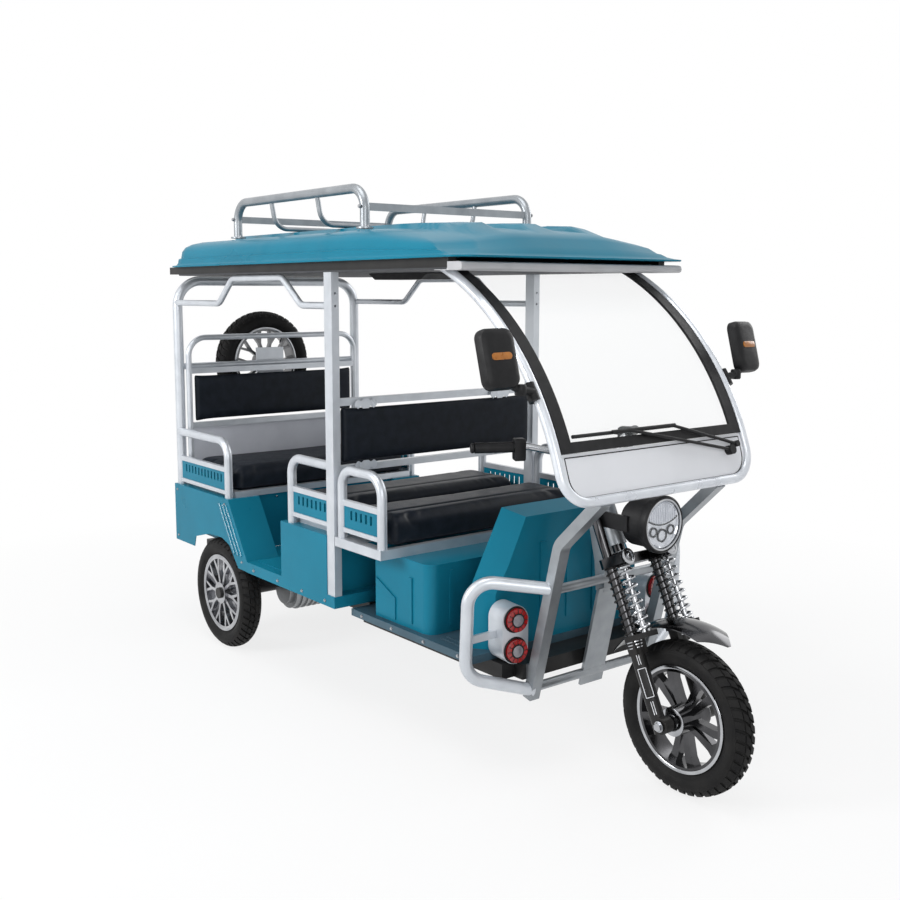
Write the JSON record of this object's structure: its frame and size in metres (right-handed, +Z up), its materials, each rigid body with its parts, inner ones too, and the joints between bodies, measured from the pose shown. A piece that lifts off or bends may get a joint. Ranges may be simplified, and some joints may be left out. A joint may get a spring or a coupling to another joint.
{
  "type": "electric rickshaw",
  "caption": "Electric three-wheel passenger rickshaw with an open cabin, facing benches, a canopy roof with luggage rack, steered front fork and curved windscreen.",
  "frame": {"origin": "on the ground under the middle of the overall length, on the centre plane", "axes": "+X forward, +Y to the left, +Z up"},
  "size_m": [2.84, 1.206, 1.873],
  "materials": {
    "teal_paint": "gloss",
    "silver_paint": "satin",
    "black_vinyl": "satin",
    "frame_black": "satin",
    "motor_grey": "satin",
    "lining_grey": "matte",
    "panel_white": "gloss",
    "seal_black": "matte",
    "screen_glass": "gloss",
    "lens_red": "gloss",
    "lens_clear": "gloss",
    "chrome": "polished",
    "dark_chrome": "polished",
    "tyre_rubber": "matte"
  },
  "bodies": {
    "chassis": {"passenger_floor": "teal_paint", "rear_body_panels": "teal_paint", "rear_seat_base": "teal_paint", "mid_bench_base": "teal_paint", "driver_seat_base": "teal_paint", "leg_shield": "teal_paint", "roof_panel": "teal_paint", "armrest_panels": "teal_paint", "pillars": "silver_paint", "rear_hoop": "silver_paint", "grab_rails": "silver_paint", "roof_rack": "silver_paint", "windscreen_frame": "silver_paint", "front_posts": "silver_paint", "steering_head": "silver_paint", "side_guards": "silver_paint", "lamp_housings": "silver_paint", "seat_frames": "silver_paint", "armrest_frames": "silver_paint", "driver_back_rails": "silver_paint", "rear_back_frame": "silver_paint", "spare_carrier": "silver_paint", "driver_floor": "silver_paint", "backrest_plates": "silver_paint", "driver_cushion": "black_vinyl", "mid_cushion": "black_vinyl", "rear_cushion": "black_vinyl", "driver_backrest": "black_vinyl", "rear_backrest": "black_vinyl", "chassis_frame": "frame_black", "rear_axle": "frame_black", "leaf_springs": "frame_black", "roof_frame": "frame_black", "drive_motor": "motor_grey", "roof_lining": "lining_grey", "rear_lower_panel": "lining_grey", "front_panel": "panel_white", "windscreen_seal": "seal_black", "mirrors": "seal_black", "wiper": "seal_black", "roof_unit": "seal_black", "windscreen_glass": "screen_glass", "lamp_lenses": "lens_red", "spare_rim": "chrome", "spare_tyre": "tyre_rubber"},
    "steering": {"fork_yoke": "chrome", "fork_sliders": "frame_black", "front_springs": "chrome", "leg_springs": "frame_black", "front_mudguard": "dark_chrome", "headlight_shell": "chrome", "headlight_lens": "lens_clear", "handlebar": "chrome", "handlebar_grips": "seal_black"},
    "front_wheel": {"front_tyre": "tyre_rubber", "front_rim": "dark_chrome"},
    "rear_wheel_left": {"rear_left_tyre": "tyre_rubber", "rear_left_rim": "chrome"},
    "rear_wheel_right": {"rear_right_tyre": "tyre_rubber", "rear_right_rim": "chrome"}
  },
  "joints": [
    {"name": "steering", "type": "hinge", "parent": "chassis", "child": "steering", "pos_m": [0.921, 0, 0.657], "axis": [-0.4305, 0, 0.9026], "range_deg": [-40, 40]},
    {"name": "front_wheel_spin", "type": "hinge", "parent": "steering", "child": "front_wheel", "pos_m": [1.185, 0, 0.235], "axis": [0, 1, 0], "continuous": true},
    {"name": "rear_wheel_left_spin", "type": "hinge", "parent": "chassis", "child": "rear_wheel_left", "pos_m": [-0.919, 0.437, 0.235], "axis": [0, 1, 0], "continuous": true},
    {"name": "rear_wheel_right_spin", "type": "hinge", "parent": "chassis", "child": "rear_wheel_right", "pos_m": [-0.919, -0.437, 0.235], "axis": [0, 1, 0], "continuous": true}
  ]
}
